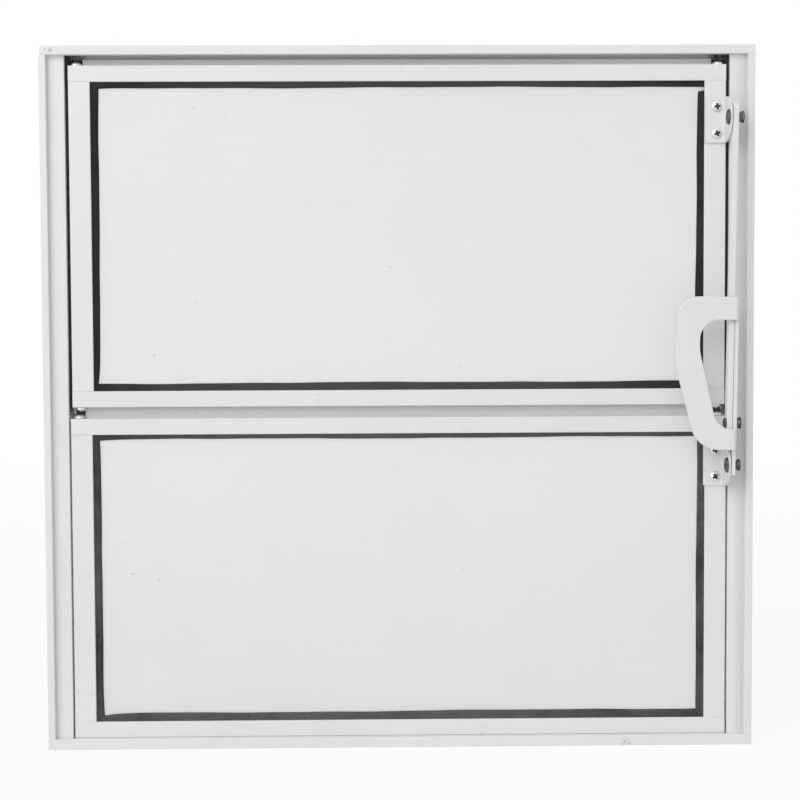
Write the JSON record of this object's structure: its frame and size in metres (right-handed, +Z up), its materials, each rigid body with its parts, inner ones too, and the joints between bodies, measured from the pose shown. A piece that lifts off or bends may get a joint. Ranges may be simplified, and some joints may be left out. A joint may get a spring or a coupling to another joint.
{
  "type": "pivot window",
  "caption": "White powder-coated aluminium horizontal-pivot window with obscure glass, black glazing rubber, and a D-shaped handle on a link bar that tilts the sashes together.",
  "frame": {"origin": "centre of the sill's underside", "axes": "+X to the right seen from inside the room, +Y towards the outside, +Z up"},
  "size_m": [0.6, 0.071, 0.594],
  "materials": {
    "white_coat": "satin white powder coat on aluminium",
    "link_coat": "satin white paint",
    "obscure_glass": "translucent, faintly mottled obscure glass",
    "black_rubber": "matt black extruded rubber",
    "black_pile": "black woven pile",
    "screw_steel": "zinc-plated steel",
    "rivet_steel": "dark dull steel"
  },
  "bodies": {
    "frame": {"head": "white_coat", "sill": "white_coat", "left_jamb": "white_coat", "right_jamb": "white_coat", "left_pile": "black_pile", "right_pile": "black_pile", "head_pile": "black_pile", "sill_pile": "black_pile"},
    "upper_sash": {"upper_top_rail": "white_coat", "upper_bottom_rail": "white_coat", "upper_left_stile": "white_coat", "upper_right_stile": "white_coat", "upper_glass": "obscure_glass", "upper_gasket": "black_rubber", "upper_pivots": "screw_steel", "upper_corner_screws": "screw_steel", "upper_bracket": "link_coat", "upper_bracket_screws": "screw_steel", "middle_pile": "black_pile"},
    "lower_sash": {"lower_top_rail": "white_coat", "lower_bottom_rail": "white_coat", "lower_left_stile": "white_coat", "lower_right_stile": "white_coat", "lower_glass": "obscure_glass", "lower_gasket": "black_rubber", "lower_pivots": "screw_steel", "lower_corner_screws": "screw_steel", "lower_bracket": "link_coat", "lower_bracket_screws": "screw_steel"},
    "link": {"link_bar": "link_coat", "handle": "link_coat", "rivets": "rivet_steel"}
  },
  "joints": [
    {"name": "upper_sash_tilt", "type": "hinge", "parent": "frame", "child": "upper_sash", "pos_m": [0, -0.004, 0.43485], "axis": [1, 0, 0], "range_deg": [0, 20]},
    {"name": "lower_sash_tilt", "type": "hinge", "parent": "frame", "child": "lower_sash", "pos_m": [0, -0.004, 0.1453], "axis": [1, 0, 0], "range_deg": [0, 20]},
    {"name": "link_swing", "type": "hinge", "parent": "upper_sash", "child": "link", "pos_m": [0.2754, -0.0385, 0.53105], "axis": [1, 0, 0], "range_deg": [-20, 0]}
  ],
  "couplings": [
    {"joint": "lower_sash_tilt", "follows": "upper_sash_tilt", "ratio": 1},
    {"joint": "link_swing", "follows": "upper_sash_tilt", "ratio": -1}
  ]
}
